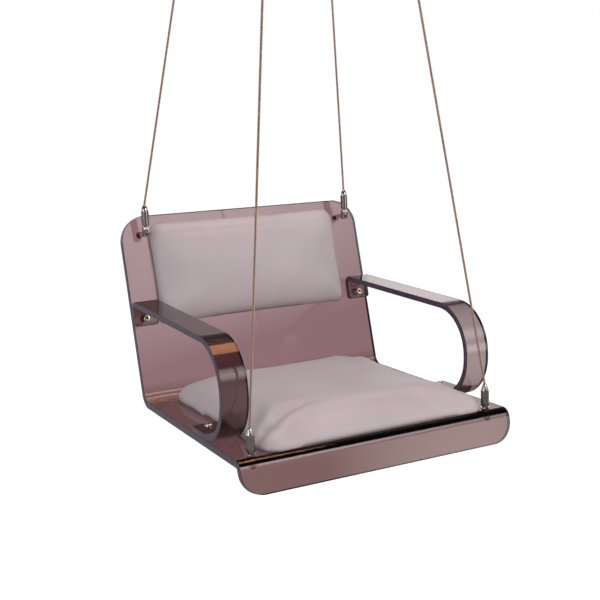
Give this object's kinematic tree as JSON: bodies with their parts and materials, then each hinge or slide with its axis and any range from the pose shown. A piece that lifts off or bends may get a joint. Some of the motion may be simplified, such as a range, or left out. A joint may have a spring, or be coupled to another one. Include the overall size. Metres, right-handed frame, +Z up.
{
  "type": "swing seat",
  "caption": "Hanging swing seat bent from clear acrylic, with acrylic armrests, a seat cushion and a back cushion, on four wire ropes with ceiling forks.",
  "frame": {"origin": "midway between the studs of the two front ceiling forks, on the ceiling plane that their flanges meet", "axes": "+Z up into the ceiling, along the studs; the front of the seat faces -Y; +X is to the right of someone who looks along +Y at the front of the seat"},
  "size_m": [0.6, 0.6677, 1.0062],
  "materials": {
    "tinted_acrylic": "polished clear acrylic sheet with a warm tint in its edges",
    "clear_acrylic": "polished clear acrylic",
    "cushion_cover": "soft satin leatherette",
    "plywood": "sanded",
    "hook_and_loop": "matt",
    "wire_rope": "bright stranded steel",
    "polished_steel": "polished",
    "satin_steel": "satin",
    "fastener_steel": "satin"
  },
  "bodies": {
    "ceiling_fittings": {"front_left_ceiling_fork": "satin_steel", "front_right_ceiling_fork": "satin_steel", "rear_left_ceiling_fork": "satin_steel", "rear_right_ceiling_fork": "satin_steel", "clevis_bolts": "fastener_steel", "clevis_nuts": "fastener_steel"},
    "rear_ropes": {"rear_left_rope": "wire_rope", "rear_right_rope": "wire_rope", "rear_left_rope_eye": "polished_steel", "rear_right_rope_eye": "polished_steel"},
    "seat": {"armrest_nuts": "fastener_steel", "armrest_screws": "fastener_steel", "back_cushion": "cushion_cover", "back_cushion_board": "plywood", "back_cushion_strips": "hook_and_loop", "front_collars": "polished_steel", "front_grippers": "polished_steel", "front_nuts": "fastener_steel", "front_studs": "fastener_steel", "gripper_cones": "polished_steel", "left_armrest": "clear_acrylic", "rear_grippers": "polished_steel", "rear_nuts": "fastener_steel", "rear_screws": "fastener_steel", "rear_spacers": "polished_steel", "right_armrest": "clear_acrylic", "seat_cushion": "cushion_cover", "seat_cushion_board": "plywood", "seat_cushion_strips": "hook_and_loop", "seat_shell": "tinted_acrylic"},
    "front_ropes": {"front_left_rope": "wire_rope", "front_right_rope": "wire_rope", "front_left_rope_eye": "polished_steel", "front_right_rope_eye": "polished_steel"}
  },
  "joints": [
    {"name": "rear_rope_swing", "type": "hinge", "parent": "ceiling_fittings", "child": "rear_ropes", "pos_m": [0, 0.3587, -0.028], "axis": [1, 0, 0], "range_deg": [-15, 15]},
    {"name": "seat_pitch", "type": "hinge", "parent": "rear_ropes", "child": "seat", "pos_m": [0, 0.4292, -0.52898], "axis": [1, 0, 0], "range_deg": [-11.5, 11.5]},
    {"name": "front_rope_swing", "type": "hinge", "parent": "seat", "child": "front_ropes", "pos_m": [0, -0.12984, -0.86582], "axis": [1, 0, 0], "range_deg": [-7.5, 7.5]}
  ],
  "couplings": [
    {"joint": "seat_pitch", "follows": "rear_rope_swing", "ratio": -0.70771},
    {"joint": "front_rope_swing", "follows": "rear_rope_swing", "ratio": 0.42318}
  ]
}
